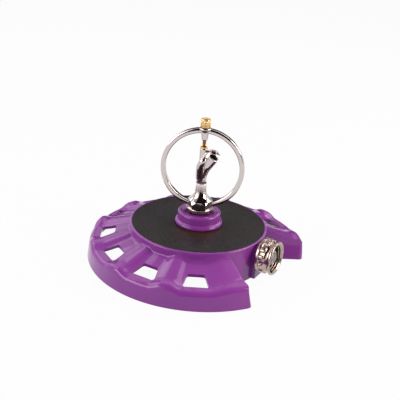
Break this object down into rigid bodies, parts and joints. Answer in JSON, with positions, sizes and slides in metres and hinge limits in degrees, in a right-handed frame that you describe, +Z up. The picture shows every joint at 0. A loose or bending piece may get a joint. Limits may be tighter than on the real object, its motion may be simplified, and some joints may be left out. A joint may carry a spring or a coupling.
{
  "type": "rotary lawn sprinkler",
  "caption": "Rotary lawn sprinkler: cast round base with a hose swivel in a notch, and a bent jet tube that spins in an upright chrome ring.",
  "frame": {"origin": "on the ground, at the centre of the round base, under the spinner's axis", "axes": "+Z up along the spinner's axis; the hose coupling points along a level line halfway between +X and -Y"},
  "size_m": [0.204, 0.204, 0.1335],
  "materials": {
    "purple_powder_coat": "gloss powder coat on cast metal",
    "black_sheet": "satin black, finely textured",
    "chrome_plate": "polished chrome plate",
    "nickel_plate": "warm nickel plate on brass, satin",
    "brass": "bare machined brass",
    "black_rubber": "matte",
    "grey_plastic": "moulded, matte",
    "stainless_steel": "satin"
  },
  "bodies": {
    "base": {"base_casting": "purple_powder_coat", "cover_disc": "black_sheet", "riser_collar": "purple_powder_coat", "inlet_manifold": "grey_plastic", "manifold_gasket": "black_rubber", "manifold_screw_1": "stainless_steel", "manifold_screw_2": "stainless_steel", "manifold_screw_3": "stainless_steel", "manifold_screw_4": "stainless_steel", "inlet_tailpiece": "brass", "tailpiece_o_ring": "black_rubber", "head_gasket": "black_rubber", "spinner_frame": "chrome_plate", "jet_nozzle": "brass", "bearing_sleeve": "chrome_plate", "thrust_washer": "grey_plastic"},
    "swivel": {"swivel_nut": "nickel_plate", "hose_washer": "black_rubber", "filter_screen": "stainless_steel"},
    "rotor": {"spinner_tube": "chrome_plate", "pivot_bush": "brass"},
    "pivot_carrier": {"pivot_o_ring": "black_rubber"},
    "pivot": {"pivot_screw": "brass"}
  },
  "joints": [
    {"name": "rotor_spin", "type": "hinge", "parent": "base", "child": "rotor", "pos_m": [0, 0, 0.0743], "axis": [0, 0, 1], "continuous": true},
    {"name": "swivel_turn", "type": "hinge", "parent": "base", "child": "swivel", "pos_m": [0, 0, 0.0215], "axis": [0.7071, -0.7071, 0], "continuous": true},
    {"name": "pivot_lift", "type": "slide", "parent": "base", "child": "pivot_carrier", "axis": [0, 0, 1], "range_m": [0, 0.0021]},
    {"name": "pivot_turn", "type": "hinge", "parent": "pivot_carrier", "child": "pivot", "pos_m": [0, 0, 0.1254], "axis": [0, 0, 1], "range_deg": [0, 1080]}
  ],
  "couplings": [
    {"joint": "pivot_turn", "follows": "pivot_lift", "rad_per_m": 8975.9}
  ]
}
